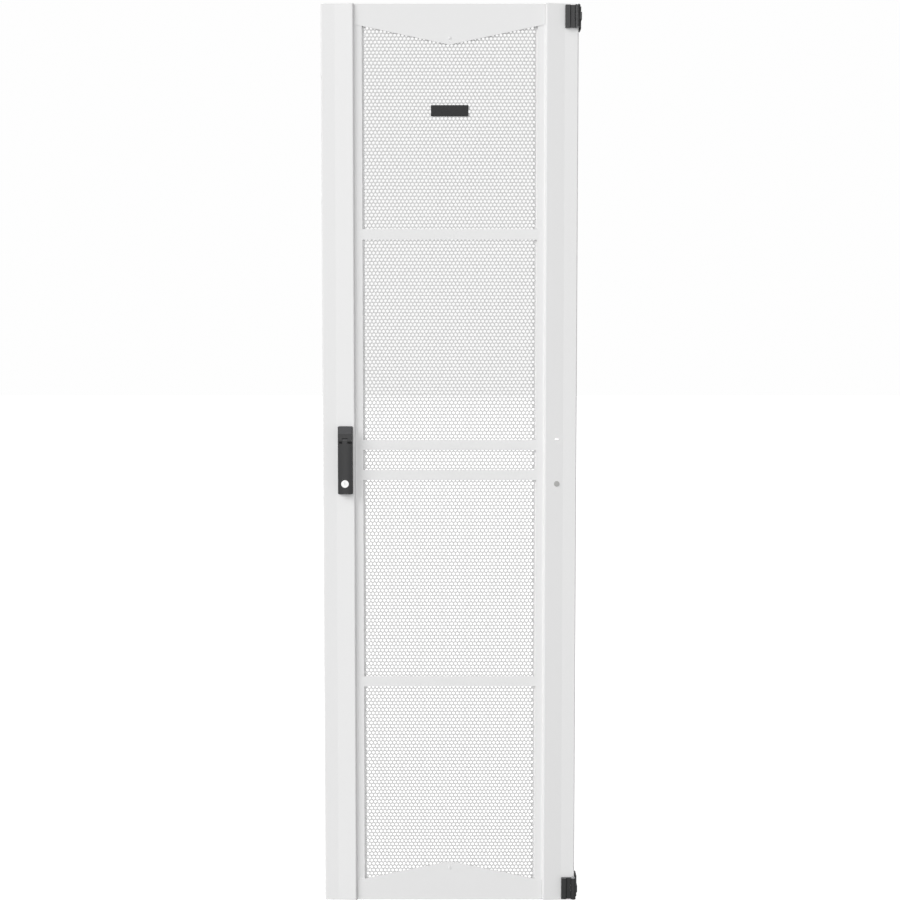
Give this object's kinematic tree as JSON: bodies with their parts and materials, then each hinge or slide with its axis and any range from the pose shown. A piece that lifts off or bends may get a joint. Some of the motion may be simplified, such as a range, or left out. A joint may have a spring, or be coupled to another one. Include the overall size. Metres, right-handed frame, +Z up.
{
  "type": "perforated rack door",
  "caption": "Tall hinged cabinet door with a honeycomb-perforated steel field, folded stiles, flat crossbars, pin hinges and a lockable swing handle that drives latch rods.",
  "frame": {"origin": "centre of the two screw holes in the lower cabinet-side hinge flange, on the flange's rear face that lies on the cabinet", "axes": "+Z up the door, +X towards the hinge side as seen from the front, +Y from the door into the cabinet"},
  "size_m": [0.598, 0.0636, 2.086],
  "materials": {
    "white_powder_coat": "fine-textured satin powder coat",
    "black_cast_metal": "satin black coat on die cast metal",
    "black_plastic": "matt",
    "zinc_plated_steel": "zinc plated",
    "bright_lock_metal": "satin bright",
    "grey_nylon": "moulded",
    "black_rubber": "moulded"
  },
  "bodies": {
    "cabinet_side": {"upper_frame_hinge": "black_cast_metal", "lower_frame_hinge": "black_cast_metal", "upper_hinge_pin": "zinc_plated_steel", "lower_hinge_pin": "zinc_plated_steel"},
    "handle_spindle": {"handle_head": "black_cast_metal", "spindle": "zinc_plated_steel", "spindle_washer": "zinc_plated_steel", "spindle_screw": "zinc_plated_steel", "pinion": "zinc_plated_steel", "lever_pin": "zinc_plated_steel"},
    "lever": {"lever": "black_cast_metal", "lock_cylinder": "bright_lock_metal"},
    "key_plug": {"key_plug": "bright_lock_metal"},
    "upper_latch": {"upper_rack": "zinc_plated_steel", "upper_rod": "zinc_plated_steel", "upper_lap_rivet": "zinc_plated_steel", "upper_roller_pin": "zinc_plated_steel"},
    "lower_latch": {"lower_rack": "zinc_plated_steel", "lower_rod": "zinc_plated_steel", "lower_lap_rivet": "zinc_plated_steel", "lower_roller_pin": "zinc_plated_steel"},
    "upper_roller": {"upper_roller": "grey_nylon"},
    "lower_roller": {"lower_roller": "grey_nylon"},
    "door": {"left_stile": "white_powder_coat", "left_return": "white_powder_coat", "left_lip": "white_powder_coat", "right_stile": "white_powder_coat", "right_return": "white_powder_coat", "right_lip": "white_powder_coat", "top_rail": "white_powder_coat", "bottom_rail": "white_powder_coat", "top_v_plate": "white_powder_coat", "bottom_v_plate": "white_powder_coat", "crossbar_1": "white_powder_coat", "crossbar_2": "white_powder_coat", "crossbar_3": "white_powder_coat", "crossbar_4": "white_powder_coat", "perforated_sheet": "white_powder_coat", "apex_rivets": "white_powder_coat", "upper_door_hinge": "black_cast_metal", "lower_door_hinge": "black_cast_metal", "handle_base": "black_cast_metal", "nameplate": "black_plastic", "hinge_screws": "zinc_plated_steel", "nameplate_push_nuts": "zinc_plated_steel", "gear_case": "zinc_plated_steel", "gear_cover": "zinc_plated_steel", "handle_screws": "zinc_plated_steel", "clamp_washer": "zinc_plated_steel", "guide_studs": "zinc_plated_steel", "guide_nuts": "zinc_plated_steel", "earth_stud": "zinc_plated_steel", "earth_washer": "zinc_plated_steel", "earth_nut": "zinc_plated_steel", "upper_rod_guide_1": "grey_nylon", "upper_rod_guide_2": "grey_nylon", "lower_rod_guide_1": "grey_nylon", "lower_rod_guide_2": "grey_nylon", "blanking_plug": "grey_nylon", "door_buffers": "black_rubber"}
  },
  "joints": [
    {"name": "door_swing", "type": "hinge", "parent": "cabinet_side", "child": "door", "pos_m": [0.0155, -0.049, 0], "axis": [0, 0, 1], "range_deg": [0, 130]},
    {"name": "handle_turn", "type": "hinge", "parent": "door", "child": "handle_spindle", "pos_m": [-0.518, -0.0513, 1.0755], "axis": [0, -1, 0], "range_deg": [0, 90]},
    {"name": "lever_tilt", "type": "hinge", "parent": "handle_spindle", "child": "lever", "pos_m": [-0.518, -0.057, 1.0595], "axis": [-1, 0, 0], "range_deg": [0, 40]},
    {"name": "key_turn", "type": "hinge", "parent": "lever", "child": "key_plug", "pos_m": [-0.518, -0.057, 0.9595], "axis": [0, -1, 0], "range_deg": [0, 90]},
    {"name": "upper_latch_slide", "type": "slide", "parent": "door", "child": "upper_latch", "axis": [0, 0, -1], "range_m": [0, 0.01885]},
    {"name": "lower_latch_slide", "type": "slide", "parent": "door", "child": "lower_latch", "axis": [0, 0, 1], "range_m": [0, 0.01885]},
    {"name": "upper_roller_spin", "type": "hinge", "parent": "upper_latch", "child": "upper_roller", "pos_m": [-0.5372, -0.0312, 2.0385], "axis": [1, 0, 0], "continuous": true},
    {"name": "lower_roller_spin", "type": "hinge", "parent": "lower_latch", "child": "lower_roller", "pos_m": [-0.4988, -0.0312, -0.0115], "axis": [1, 0, 0], "continuous": true}
  ],
  "couplings": [
    {"joint": "upper_latch_slide", "follows": "handle_turn", "m_per_rad": 0.012},
    {"joint": "lower_latch_slide", "follows": "handle_turn", "m_per_rad": 0.012}
  ]
}
